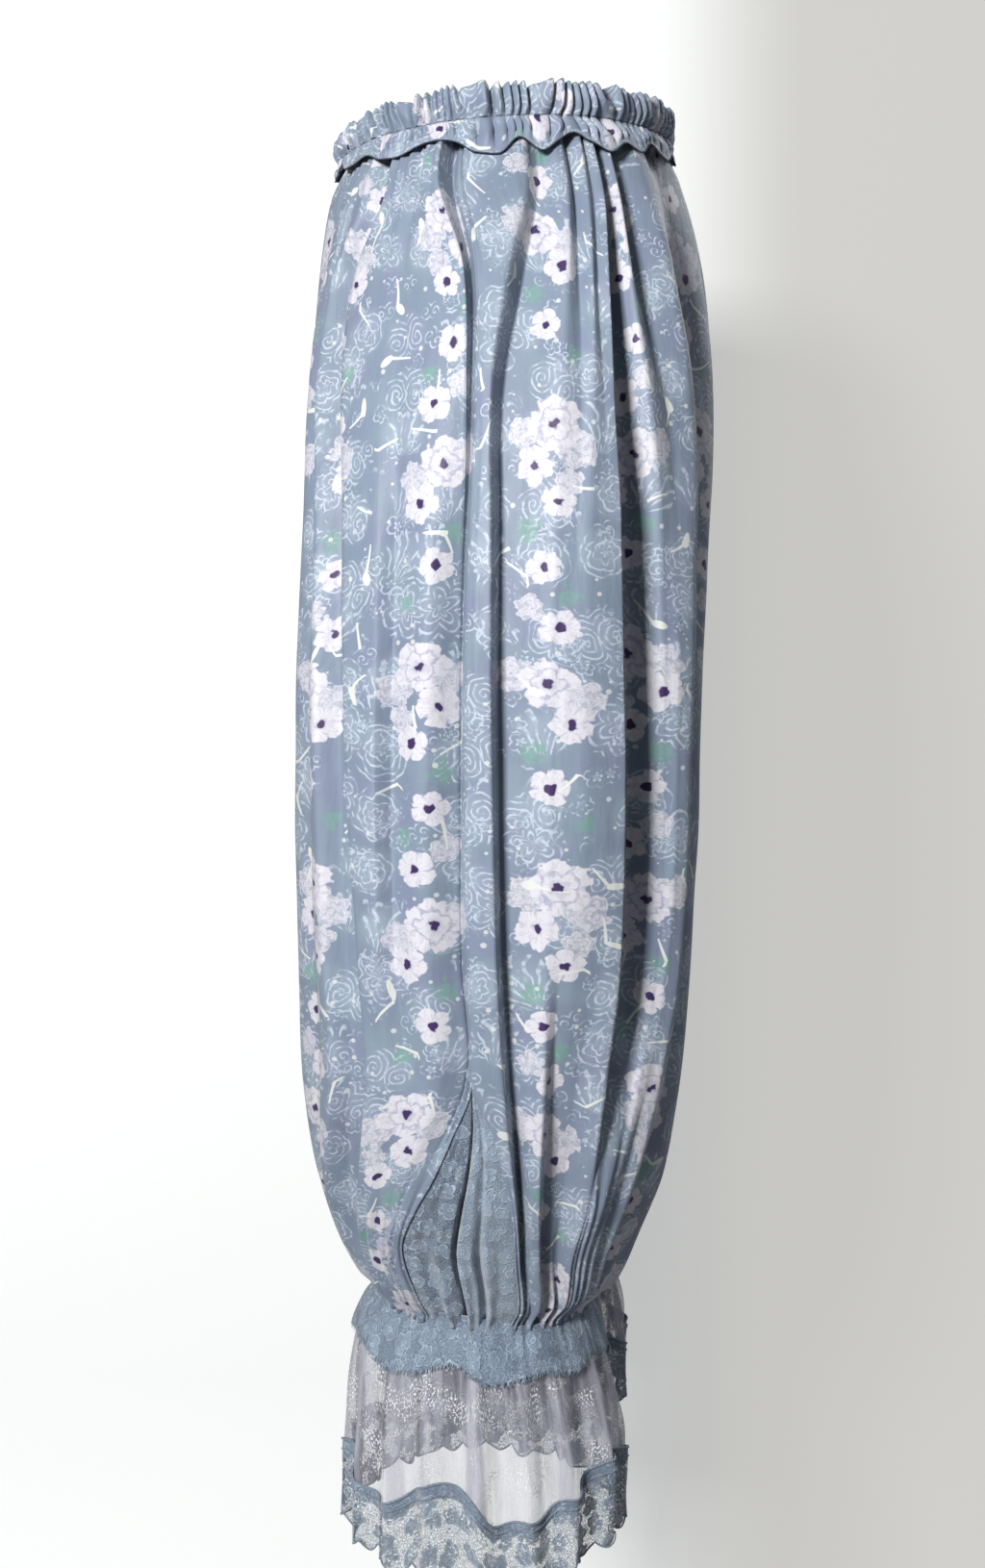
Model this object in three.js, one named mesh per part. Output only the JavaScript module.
// Bloomer pants in print satin, worn on a general figure that is left out: each piece is a thin wall.
// Millimetres, +Z up. The garment's front faces -Y, the wearer's left leg is on +X, and the origin is at
// the middle of the waist opening, level with the elastic.
//
// Each leg is a stack of rings. A ring is a table of named fold lines, each with its angle round the leg
// and how far it stands out from the plain outline, so that a fold runs down the cloth as one line.

import * as THREE from 'three';

// ---------------------------------------------------------------- driving sizes
const SATIN = 1.2; // wall of the printed leg cloth
const RUCHED = 1.6; // wall of the gathered waist strips
const LACE = 1.2; // wall of the lace pieces
const MESH_CLOTH = 1.0; // wall of the sheer flounce
const SEAM = 0.3; // gap between two pieces at a seam
const LAID_ON = 0.4; // gap under a piece that lies on another
const CUFF_LIFT = 0.6; // the same under the cuff lace, where the flounce slopes

const STITCH_Z = 4; // height of the stitch line under the waist frill, at the sides
const WAIST_TILT = 0.05; // rise of the waist for each mm towards the back
const FRILL = { front: 12, side: 16, back: 15.5 }; // standing height of the frill
const CASING = { front: 9, side: 15, back: 13 }; // height of the casing to its loose lower edge
const FOOT_Z = -697; // where the leg is gathered into the cuff
const GODET_TOP = -528; // tip of the lace godet
const FLOUNCE_TOP = FOOT_Z - SEAM; // gathered edge of the flounce
const CUFF_LACE = 27; // height of the cuff lace
const CUFF_BEND_Z = -712; // level at which the cuff lace turns from flaring to hanging
const FLOUNCE_MIDDLE_Z = -760; // level at which the flounce is straightened
const HEM_Z = -846; // lowest edge of the hem lace
const HEM_LACE = 48; // height of the hem lace
const HEM_WAVE = 12; // rise and fall of its top edge
const HEM_WAVES = 8; // waves of that edge round each foot
const HEM_WAVE_START = 200; // degrees by which they are turned
const HEM_OVERLAP = 10; // the flounce ends this far below the hem lace's top edge
const LEG_GAP = 4; // the flounces keep this far from the garment's middle plane
const RIGHT_SWAY = 13; // the right foot hangs this much further back

// Plain outline of the left leg, level by level: its front, back and outer reach, the x of its centre, and
// the tilt of the level (rise in z for each mm towards the back).
const LEG_OUTLINE = [
  { z: STITCH_Z, front: -98, back: 98, outer: 125, centre: 0, tilt: WAIST_TILT },
  { z: -20, front: -107, back: 107, outer: 138, centre: 6, tilt: WAIST_TILT },
  { z: -50, front: -112, back: 116, outer: 155, centre: 18, tilt: 0.04 },
  { z: -85, front: -115.5, back: 121.5, outer: 170, centre: 34, tilt: 0.03 },
  { z: -140, front: -118, back: 124, outer: 188, centre: 60, tilt: 0.01 },
  { z: -196, front: -118.5, back: 122, outer: 200, centre: 82, tilt: 0 },
  { z: -250, front: -120, back: 118, outer: 206, centre: 96, tilt: 0 },
  { z: -310, front: -122, back: 116, outer: 209, centre: 105, tilt: 0 },
  { z: -423, front: -124, back: 113.5, outer: 210, centre: 107, tilt: 0 },
  { z: -545, front: -122, back: 107, outer: 203, centre: 105, tilt: 0 },
  { z: -606, front: -117, back: 99, outer: 189, centre: 100, tilt: 0 },
  { z: -645, front: -108, back: 84.5, outer: 174, centre: 94, tilt: -0.02 },
  { z: -680, front: -93, back: 68, outer: 158, centre: 87, tilt: -0.05 },
  { z: FOOT_Z, front: -80.5, back: 52, outer: 148, centre: 82, tilt: -0.06 },
];

// Plain outline of the left flounce, from its gathered edge to the hem.
const FLOUNCE_OUTLINE = [
  { z: FLOUNCE_TOP, front: -80.5, back: 52, outer: 148, centre: 82, tilt: -0.06 },
  { z: -706, front: -87, back: 56, outer: 152, centre: 83, tilt: -0.06 },
  { z: -724, front: -94.5, back: 62, outer: 159, centre: 84, tilt: -0.05 },
  { z: -752, front: -99.5, back: 70, outer: 167, centre: 86, tilt: -0.03 },
  { z: -790, front: -101.5, back: 76.5, outer: 172, centre: 88, tilt: 0 },
  { z: HEM_Z, front: -101.5, back: 76.5, outer: 173, centre: 88.5, tilt: 0 },
];

// Heights at which the fold tables give their angles and depths.
const STATIONS = [-25, -80, -150, -250, -360, -460, -530, -605, -648, FOOT_Z];

// The side seam, and how far the godet's two edges spread from it below the tip (degrees).
const SIDE_SEAM = {
  at: [-15, -9.5, -9, -9.2, -8.5, -7, -6, -6.8, -7, -7.5],
  out: [-3, -5, 0, 2, 2.5, 2, 1.5, 0, 0, 0],
};
const GODET_EDGES = [
  { z: GODET_TOP, front: 1.2, back: 1.2 },
  { z: -560, front: 5, back: 6.5 },
  { z: -590, front: 11, back: 10.5 },
  { z: -612, front: 17, back: 13.5 },
  { z: -642, front: 23.3, back: 17 },
  { z: FOOT_Z, front: 21, back: 22 },
];

// Fold lines of the front panel, from the centre seam to beside the side seam. "at" is degrees round the
// leg from its outer side, minus to the front, and "out" is mm outward, at each station. The hidden lines
// have a share of the way from the centre seam to front_strip.
const FRONT_FOLDS = [
  { name: 'centre_seam', share: 0, out: [0, 0, 0, 0, 0, 0, 0, 0, 0, 0] },
  { name: 'inner_pleat', share: 0.17, out: [0, -1, -2, -4, -5, -5, -4, -3, -1, 0] },
  { name: 'inner_ridge', share: 0.36, out: [0, 0, 1, 1, 1, 1, 1, 0, 0, 0] },
  { name: 'front_trough', share: 0.57, out: [-1, -4, -7, -9, -8, -7, -6, -5, -3, 0] },
  { name: 'front_ridge', share: 0.78, out: [0, 0, 1, 1, 1, 1, 1, 0, 0, 0] },
  { name: 'front_dip', share: 0.9, out: [-1, -3, -5, -6, -6, -5, -4, -3, -2, 0] },
  {
    name: 'front_strip',
    at: [-62, -66, -68, -66, -65, -62, -58, -60, -62, -66],
    out: [0, 1, 2, 2, 2, 2, 2, 1, 0, 0],
  },
  {
    name: 'front_crease',
    at: [-45, -53, -54, -51, -48, -44, -42, -48, -52, -56],
    out: [-2, -5, -6, -6, -5, -5, -5, -7, -6, 0],
  },
  {
    name: 'broad_edge',
    at: [-40, -46, -46, -43, -41, -38, -37, -40, -46, -50],
    out: [0, 1, 1, 1, 1, 1, 1, 1, 0, 0],
  },
  {
    name: 'step_crest',
    at: [-33, -36, -37, -35, -34, -33, -31, -36, -43, -44],
    out: [0, 0, 0, 2, 3, 2, 0, 0, 0, 0],
  },
  {
    name: 'step_foot',
    at: [-28, -30, -31, -31, -31, -29, -26, -32, -39, -39],
    out: [-2, -1, 0, -2, -3, -2, -1, -2, -2, 0],
  },
  {
    name: 'broad_middle',
    at: [-24, -22, -20, -20, -20, -19, -17, -28, -36, -35],
    out: [0, 1, 2, 1, 1, 1, 1, 1, 0, 0],
  },
  {
    name: 'seam_dip',
    at: [-19, -13, -11.5, -12.5, -12, -11, -9, -25, -33, -31],
    out: [0, 2, -2, -5, -6, -5, -3, -2, -1, 0],
  },
];

// Fold lines of the lace godet, each at its share of the way between the godet's two edges.
const GODET_FOLDS = [
  { name: 'godet_ridge_front', share: 0.2, out: [0, 0, 0, 0, 0, 0, 1.5, 1, 1, 0] },
  { name: 'godet_trough_front', share: 0.35, out: [0, 0, 0, 0, 0, 0, 1.5, -3, -3, 0] },
  { name: 'godet_crest', share: 0.45, out: [0, 0, 0, 0, 0, 0, 1.5, 1, 1, 0] },
  { name: 'godet_middle', share: 0.55, out: [0, 0, 0, 0, 0, 0, 1.5, -5, -5, 0] },
  { name: 'godet_ridge_back', share: 0.66, out: [0, 0, 0, 0, 0, 0, 1.5, 0, 0, 0] },
  { name: 'godet_trough_back', share: 0.8, out: [0, 0, 0, 0, 0, 0, 1.5, -3, -4, 0] },
];

// Fold lines of the back panel, from beside the side seam to the centre seam. The hidden lines have a share
// of the way from back_strip to the centre seam.
const BACK_FOLDS = [
  {
    name: 'narrow_ridge',
    at: [-6, -5, -6, -4, -2.5, -0.5, 2, 7.5, 12, 17],
    out: [0, 0, 1, 2, 2, 2, 1, 0, 0, 0],
  },
  {
    name: 'middle_trough',
    at: [9, 2, -2, -2.5, -1, 1.5, 5.5, 9.5, 13.5, 20],
    out: [-2, -7, -9, -12, -13, -13, -12, -10, -7, 0],
  },
  {
    name: 'middle_wall',
    at: [13, 8.5, 5, 4, 5, 7, 9.5, 12, 16.5, 23],
    out: [0, -3, -5, -7, -7, -6, -2, 1, 0, 0],
  },
  {
    name: 'low_ridge',
    at: [15.5, 12, 11, 12, 13, 13, 13, 14.5, 19, 26],
    out: [0, -1, -1, -1, -1, 0, 2, 2, 1, 0],
  },
  {
    name: 'thin_pleat',
    at: [18, 15, 15, 16, 16, 16.5, 16, 18, 22, 29],
    out: [-1, 0, 0, 1, 1, 1, -1, -6, -6, 0],
  },
  {
    name: 'right_crest',
    at: [20.5, 18, 19, 22, 23, 22, 20, 20.5, 25, 32],
    out: [0, 1.5, 2.5, 3.5, 4, 3.5, 2, 0, 0, 0],
  },
  {
    name: 'second_pleat',
    at: [23, 20.5, 22.5, 27, 29, 28, 24, 23.5, 28, 35],
    out: [-1.5, -2, 2.5, 4, 4.5, 3, -1, -5, -5, 0],
  },
  {
    name: 'right_edge',
    at: [25.5, 24.5, 26, 31, 34, 35, 33, 31, 32, 38],
    out: [0, 2, 3, 4, 4.5, 4, 2, 1, 0, 0],
  },
  {
    name: 'deep_trough',
    at: [29, 28, 28.5, 33.5, 36, 37, 35, 33, 35, 41],
    out: [-2, -8, -12, -17, -19, -17, -11, -6, -4, 0],
  },
  {
    name: 'deep_floor',
    at: [32, 32, 34, 42, 45, 45, 41.5, 36, 38, 44],
    out: [-1, -6, -10, -16, -17, -15, -9, -5, -4, 0],
  },
  {
    name: 'back_rise',
    at: [35, 35, 39, 47, 50, 50, 46, 39.5, 41, 47],
    out: [0, -1, -4, -6, -6, -5, -2, 0, 0, 0],
  },
  {
    name: 'top_pleat',
    at: [39, 41, 49, 53, 55, 54, 50.5, 44, 45, 50],
    out: [-1.5, -6, -3, -1, -1, -1, -1, 0, 0, 0],
  },
  {
    name: 'back_crest',
    at: [45, 48, 57, 60, 61, 60, 55, 49, 49, 53],
    out: [0, 1, 1.5, 2, 2, 2, 1, 1, 0, 0],
  },
  {
    name: 'back_crease',
    at: [60, 69, 74, 72, 72, 71, 67, 59, 57, 59],
    out: [-2, -5, -7, -6, -6, -6, -5, -4, -3, 0],
  },
  {
    name: 'back_strip',
    at: [70, 82, 86, 83, 84, 84, 81, 72, 70, 70],
    out: [0, 0, 0, 0, 0, 0, 0, 0, 0, 0],
  },
  { name: 'back_dip', share: 0.16, out: [-1, -3, -6, -8, -8, -7, -6, -4, -2, 0] },
  { name: 'back_ridge', share: 0.34, out: [0, 0, 1, 1, 1, 1, 0, 0, 0, 0] },
  { name: 'back_trough', share: 0.52, out: [-1, -3, -6, -9, -8, -7, -6, -4, -2, 0] },
  { name: 'inner_back_ridge', share: 0.7, out: [0, 0, 0, 1, 1, 1, 0, 0, 0, 0] },
  { name: 'inner_back_pleat', share: 0.86, out: [0, -1, -2, -4, -5, -5, -4, -3, -1, 0] },
  { name: 'centre_seam', share: 1, out: [0, 0, 0, 0, 0, 0, 0, 0, 0, 0] },
];

// Heights of the leg's rings: close together where the folds change quickly and by the godet's tip.
const LEG_LEVELS = [
  STITCH_Z - 0.5, -20, -45, -80, -150, -220, -286, -308, -360, -460,
  GODET_TOP + 5, GODET_TOP, -560, -590, -612, -645, -674, FOOT_Z,
];
const TOP_FADE = 20; // the folds come out of the waist seam over this height

// Soft pleats of the flounce: crest angles round it, and the depth of the trough after each crest.
const FLOUNCE_PLEATS = [
  { at: -172, depth: 4 }, { at: -150, depth: 6 }, { at: -131, depth: 5 }, { at: -108, depth: 7 },
  { at: -86, depth: 5 }, { at: -64, depth: 6 }, { at: -43, depth: 7 }, { at: -23, depth: 5 },
  { at: -2, depth: 6 }, { at: 18, depth: 5 }, { at: 38, depth: 8 }, { at: 62, depth: 6 },
  { at: 84, depth: 5 }, { at: 105, depth: 7 }, { at: 126, depth: 5 }, { at: 149, depth: 5 },
  { at: 169, depth: 3 },
];

const COLOURS = { satin: 0x8a9bb1, ruched: 0x8496ad, lace: 0x8fa3b8, mesh: 0xc9cad6 };

// ---------------------------------------------------------------- small tools
const radians = THREE.MathUtils.degToRad;
const mix = THREE.MathUtils.lerp;

// A smooth curve through the values at the stations (Hermite, with the slope of the neighbours at each).
function curve(stations, values, z) {
  const last = stations.length - 1;
  if (z >= stations[0]) return values[0];
  if (z <= stations[last]) return values[last];
  const i = stations.findIndex((s, k) => z <= s && z > stations[k + 1]);
  const slope = (k) => {
    if (k === 0 || k === last) return 0;
    return (values[k + 1] - values[k - 1]) / (stations[k + 1] - stations[k - 1]);
  };
  const span = stations[i + 1] - stations[i];
  const t = (z - stations[i]) / span;
  const a = 2 * t ** 3 - 3 * t ** 2 + 1;
  const b = t ** 3 - 2 * t ** 2 + t;
  const c = t ** 3 - t ** 2;
  return a * values[i] + b * span * slope(i) + (1 - a) * values[i + 1] + c * span * slope(i + 1);
}

// The plain outline at one level, as an ellipse.
function outline(table, z) {
  const zs = table.map((row) => row.z);
  const read = (key) => curve(zs, table.map((row) => row[key]), z);
  const front = read('front');
  const back = read('back');
  const centre = read('centre');
  const halfX = read('outer') - centre;
  return { x: centre, y: (front + back) / 2, halfX, halfY: (back - front) / 2, tilt: read('tilt') };
}

// Angle at which the outline meets the garment's middle plane, or the inseam where the leg is closed.
function seamAngle(o) {
  const reach = (o.x - SEAM / 2) / o.halfX;
  const inseam = 180 - THREE.MathUtils.radToDeg(SEAM / 2 / o.halfY);
  return reach >= 1 ? inseam : Math.min(inseam, 90 + THREE.MathUtils.radToDeg(Math.asin(reach)));
}

// A point at an angle round the outline, moved out along the outline's normal and kept on its own side of
// the middle.
function place(o, z, degrees, out) {
  const a = radians(degrees);
  const n = new THREE.Vector2(Math.cos(a) / o.halfX, Math.sin(a) / o.halfY).normalize();
  const x = Math.max(SEAM / 2, o.x + o.halfX * Math.cos(a) + n.x * out);
  const y = o.y + o.halfY * Math.sin(a) + n.y * out;
  return new THREE.Vector3(x, y, z + o.tilt * (y - o.y));
}

// Outward normals of a ring of points, level with the ground. A closed ring takes its neighbours round the
// end. At a sharp fold the normal is lengthened, so that the wall keeps its thickness, but only so far.
const SAME_POINT = 0.35;
const SHARPEST = 0.75;

function normals(points, closed) {
  const n = points.length;
  const neighbour = (i, step) => {
    for (let k = 1; k < n; k++) {
      let j = i + step * k;
      if (closed) j = (j + n) % n;
      if (j < 0 || j >= n) return null;
      if (points[j].distanceTo(points[i]) > SAME_POINT) return points[j];
    }
    return null;
  };
  return points.map((p, i) => {
    const before = neighbour(i, -1);
    const after = neighbour(i, 1);
    const sum = new THREE.Vector3();
    const sides = [];
    if (before) sides.push(new THREE.Vector3(p.y - before.y, before.x - p.x, 0).normalize());
    if (after) sides.push(new THREE.Vector3(after.y - p.y, p.x - after.x, 0).normalize());
    sides.forEach((s) => sum.add(s));
    sum.normalize();
    const fit = sides.length === 2 ? Math.max(SHARPEST, sum.dot(sides[0])) : 1;
    return sum.divideScalar(fit);
  });
}

const moved = (points, ns, by) => points.map((p, i) => p.clone().addScaledVector(ns[i], by));

// A closed wall between an outer and an inner grid of points. Rows run down, and columns run round with the
// outside on the right hand as they go. A ring joins its last column to its first.
function wall(outer, inner, ring) {
  const rows = outer.length;
  const cols = outer[0].length;
  const flat = [...outer.flat(), ...inner.flat()].flatMap((p) => [p.x, p.y, p.z]);
  const index = [];
  const id = (skin, r, c) => skin * rows * cols + r * cols + (c % cols);
  const quad = (a, b, c, d) => index.push(a, b, c, a, c, d);
  const last = ring ? cols : cols - 1;
  for (let c = 0; c < last; c++) {
    for (let r = 0; r < rows - 1; r++) {
      quad(id(0, r, c), id(0, r + 1, c), id(0, r + 1, c + 1), id(0, r, c + 1));
      quad(id(1, r, c), id(1, r, c + 1), id(1, r + 1, c + 1), id(1, r + 1, c));
    }
    quad(id(0, 0, c), id(0, 0, c + 1), id(1, 0, c + 1), id(1, 0, c));
    quad(id(0, rows - 1, c), id(1, rows - 1, c), id(1, rows - 1, c + 1), id(0, rows - 1, c + 1));
  }
  if (!ring) {
    for (let r = 0; r < rows - 1; r++) {
      quad(id(0, r, 0), id(1, r, 0), id(1, r + 1, 0), id(0, r + 1, 0));
      quad(id(0, r, cols - 1), id(0, r + 1, cols - 1), id(1, r + 1, cols - 1), id(1, r, cols - 1));
    }
  }
  const geometry = new THREE.BufferGeometry();
  geometry.setAttribute('position', new THREE.Float32BufferAttribute(flat, 3));
  geometry.setIndex(index);
  geometry.computeVertexNormals();
  return geometry;
}

const garment = new THREE.Group();

function addPiece(name, colour, outer, inner, ring) {
  const material = new THREE.MeshStandardMaterial({ color: COLOURS[colour], roughness: 0.55 });
  const mesh = new THREE.Mesh(wall(outer, inner, ring), material);
  mesh.name = name;
  garment.add(mesh);
}

// The right side is the mirror image of the left, with its columns reversed so that faces still point out.
const mirrorRow = (row) => row.map((p) => new THREE.Vector3(-p.x, p.y, p.z)).reverse();
const mirrorGrid = (grid) => grid.map(mirrorRow);

// ---------------------------------------------------------------- the two legs
const SWAY_FROM = 300; // the right leg's sway starts this far below the waist
const RIGHT_TURN = 3; // the right leg's folds lie like the left's, turned by up to this many degrees
const RIGHT_DEPTHS = [0.7, 1.15, 1, 0.85]; // and these shares of their depth, in turn

const swayShare = (z) => THREE.MathUtils.smoothstep(-z, SWAY_FROM, -FOOT_Z);
const sway = (side, z) => (side === 'right' ? RIGHT_SWAY * swayShare(z) : 0);
const turned = (side, degrees) => (side === 'right' ? RIGHT_TURN * Math.sin(radians(degrees * 2)) : 0);
const depthOf = (side, i) => (side === 'right' ? RIGHT_DEPTHS[i % RIGHT_DEPTHS.length] : 1);

// All the points of one leg at one level, as the front, godet and back stretches. The stretches share the
// points on the side seam, which part below the godet's tip.
const CLOSED_FROM = 179; // the front and back meet at the inseam once the seam angle passes this

function legRing(side, z) {
  const o = outline(LEG_OUTLINE, z);
  o.y += sway(side, z);
  const seam = seamAngle(o);
  const fade = THREE.MathUtils.smoothstep(STITCH_Z - z, 0, TOP_FADE);
  const angleOf = (name, table) => curve(STATIONS, table.find((fold) => fold.name === name).at, z);
  const frontStrip = angleOf('front_strip', FRONT_FOLDS);
  const backStrip = angleOf('back_strip', BACK_FOLDS);
  const point = (fold, i, from, to) => {
    const angle = fold.at ? curve(STATIONS, fold.at, z) : mix(from, to, fold.share);
    const free = !fold.name.endsWith('seam');
    const out = curve(STATIONS, fold.out, z) * fade * (free ? depthOf(side, i) : 1);
    return place(o, z, angle + (free ? turned(side, angle) : 0), out);
  };
  const seamAt = curve(STATIONS, SIDE_SEAM.at, z);
  const below = z <= GODET_TOP;
  const edgeLevels = GODET_EDGES.map((e) => e.z);
  const spread = (key) => (below ? curve(edgeLevels, GODET_EDGES.map((e) => e[key]), z) : 0);
  const edges = [seamAt - spread('front'), seamAt + spread('back')];
  const seamOut = curve(STATIONS, SIDE_SEAM.out, z) * fade;
  const [frontEdge, backEdge] = edges.map((a) => place(o, z, a + turned(side, a), seamOut));
  const front = FRONT_FOLDS.map((f, i) => point(f, i, -seam, frontStrip));
  const back = BACK_FOLDS.map((f, i) => point(f, i, backStrip, seam));
  const godet = below ? GODET_FOLDS.map((f, i) => point(f, i, ...edges)) : [];
  return { front: [...front, frontEdge], godet, back: [backEdge, ...back], closed: seam > CLOSED_FROM };
}

// Move the first and last point of a stretch back from the seam.
function trimmed(points, inset) {
  const row = points.map((p) => p.clone());
  const pull = (i, j) => row[i].addScaledVector(points[j].clone().sub(points[i]).normalize(), inset);
  pull(0, 1);
  pull(row.length - 1, row.length - 2);
  return row;
}

function stretchWalls(side, part, levels) {
  const outer = [];
  const inner = [];
  for (const z of levels) {
    const ring = legRing(side, z);
    const all = [...ring.front, ...ring.godet, ...ring.back];
    const ns = normals(all, ring.closed);
    const inside = moved(all, ns, -SATIN);
    const godetStart = ring.front.length - 1;
    const backStart = godetStart + 1 + ring.godet.length;
    const ends = { front: [0, godetStart + 1], godet: [godetStart, backStart + 1], back: [backStart, all.length] };
    const cut = (list) => list.slice(...ends[part]);
    const inset = part === 'godet' ? SEAM : SEAM / 2;
    outer.push(trimmed(cut(all), inset));
    inner.push(trimmed(cut(inside), inset));
  }
  return side === 'left' ? [outer, inner] : [mirrorGrid(outer), mirrorGrid(inner)];
}

for (const side of ['left', 'right']) {
  addPiece(`${side}_leg_front`, 'satin', ...stretchWalls(side, 'front', LEG_LEVELS), false);
  addPiece(`${side}_leg_back`, 'satin', ...stretchWalls(side, 'back', LEG_LEVELS), false);
  const godetLevels = LEG_LEVELS.filter((z) => z <= GODET_TOP);
  addPiece(`${side}_godet`, 'lace', ...stretchWalls(side, 'godet', godetLevels), false);
}

// ---------------------------------------------------------------- the waist strips
const WAIST_COLUMNS = 26; // on each half of the garment
const CASING_BEND = 0.55; // share of the casing's height at which it stops standing out from the waist

// A value that differs at the front, side and back of the waist, by the angle round it.
const roundWaist = (sizes, degrees) => {
  const toEnd = Math.sin(radians(degrees));
  return mix(sizes.side, toEnd < 0 ? sizes.front : sizes.back, toEnd ** 2);
};

// One ring of a waist strip on the left half, made from the leg's plain outline and moved out. Its columns
// go up and down, and in and out, in turn, and unevenly.
function waistHalf(height, out, wave) {
  return Array.from({ length: WAIST_COLUMNS }, (_, i) => {
    const share = ((i + 0.5) / WAIST_COLUMNS) * 2 - 1;
    const o = outline(LEG_OUTLINE, Math.min(0, height(0)));
    const degrees = share * seamAngle(o);
    const ripple = (i % 2 ? 1 : -1) * mix(0.5, 1, (1 + Math.sin(i * 2.1)) / 2);
    const level = height(degrees) + wave.z * ripple;
    const own = outline(LEG_OUTLINE, Math.min(STITCH_Z, level));
    const p = place(own, level, degrees, out + wave.out * ripple);
    p.z = level + WAIST_TILT * p.y;
    return p;
  });
}

function waistRing(height, out, wave) {
  const half = waistHalf(height, out, wave);
  return [...half, ...mirrorRow(half)];
}

function waistStrip(name, rings) {
  const outer = rings.map((r) => waistRing(r.height, r.out, r.wave));
  const inner = outer.map((ring) => moved(ring, normals(ring, true), -RUCHED));
  addPiece(name, 'ruched', outer, inner, true);
}

// The rings of each strip, from the top: height, mm that it stands out past the stitch line, and its waves.
const stitchOut = RUCHED + 2 * LAID_ON;
const flat = { out: 0, z: 0 };
const frillTop = (d) => STITCH_Z + roundWaist(FRILL, d);
const casingBend = (d) => STITCH_Z - roundWaist(CASING, d) * CASING_BEND;
const casingEdge = (d) => STITCH_Z - roundWaist(CASING, d);
waistStrip('waist_frill', [
  { height: frillTop, out: stitchOut + 1.5, wave: { out: 1.5, z: 0.8 } },
  { height: () => STITCH_Z + SEAM / 2, out: stitchOut, wave: flat },
]);
waistStrip('waist_casing', [
  { height: () => STITCH_Z - SEAM / 2, out: stitchOut, wave: flat },
  { height: casingBend, out: stitchOut + 2, wave: { out: 0.9, z: 0 } },
  { height: casingEdge, out: stitchOut + 2.4, wave: { out: 1.3, z: 2.5 } },
]);

// ---------------------------------------------------------------- cuff lace, flounce and hem lace
// Fold lines round the flounce: each crest, and the trough half way to the next.
function flouncePleat(i) {
  const pleat = FLOUNCE_PLEATS[i >> 1];
  const next = FLOUNCE_PLEATS[((i >> 1) + 1) % FLOUNCE_PLEATS.length];
  const gap = (next.at - pleat.at + 360) % 360;
  return i % 2 ? { at: pleat.at + gap / 2, out: -pleat.depth } : { at: pleat.at, out: 0 };
}

const FLOUNCE_COLUMNS = FLOUNCE_PLEATS.length * 2;
const PLEATS_OPEN = { from: 4, to: 90 }; // mm below the gathered edge over which the pleats grow
const pleatShare = (z) => THREE.MathUtils.smoothstep(FLOUNCE_TOP - z, PLEATS_OPEN.from, PLEATS_OPEN.to);

function flounceRing(side, heightAt) {
  return Array.from({ length: FLOUNCE_COLUMNS }, (_, i) => {
    const { at, out } = flouncePleat(i);
    const z = heightAt(at);
    const o = outline(FLOUNCE_OUTLINE, z);
    o.y += sway(side, FOOT_Z);
    const p = place(o, z, at, out * pleatShare(z));
    p.x = Math.max(p.x, LEG_GAP);
    return p;
  });
}

// A ring wall whose outer face lies `lift` outside the flounce's own face.
function footPiece(name, colour, side, heights, lift, thickness) {
  const base = heights.map((h) => flounceRing(side, h));
  const outer = base.map((ring) => moved(ring, normals(ring, true), lift));
  const inner = base.map((ring) => moved(ring, normals(ring, true), lift - thickness));
  const turn = (grid) => (side === 'left' ? grid : mirrorGrid(grid));
  addPiece(`${side}_${name}`, colour, turn(outer), turn(inner), true);
}

const hemWave = (degrees) => HEM_WAVE * Math.cos(radians(degrees * HEM_WAVES + HEM_WAVE_START));
const hemTop = (degrees) => HEM_Z + HEM_LACE + hemWave(degrees);
const level = (z) => () => z;

for (const side of ['left', 'right']) {
  const flounceEnd = (d) => hemTop(d) - HEM_OVERLAP;
  const cuffLevels = [level(FLOUNCE_TOP), level(CUFF_BEND_Z), level(FLOUNCE_TOP - CUFF_LACE)];
  const flounceLevels = [...cuffLevels, level(FLOUNCE_MIDDLE_Z), hemTop, flounceEnd];
  footPiece('flounce', 'mesh', side, flounceLevels, 0, MESH_CLOTH);
  footPiece('cuff_lace', 'lace', side, cuffLevels, CUFF_LIFT + LACE, LACE);
  footPiece('hem_lace', 'lace', side, [hemTop, flounceEnd, level(HEM_Z)], LAID_ON + LACE, LACE);
}

export default garment;
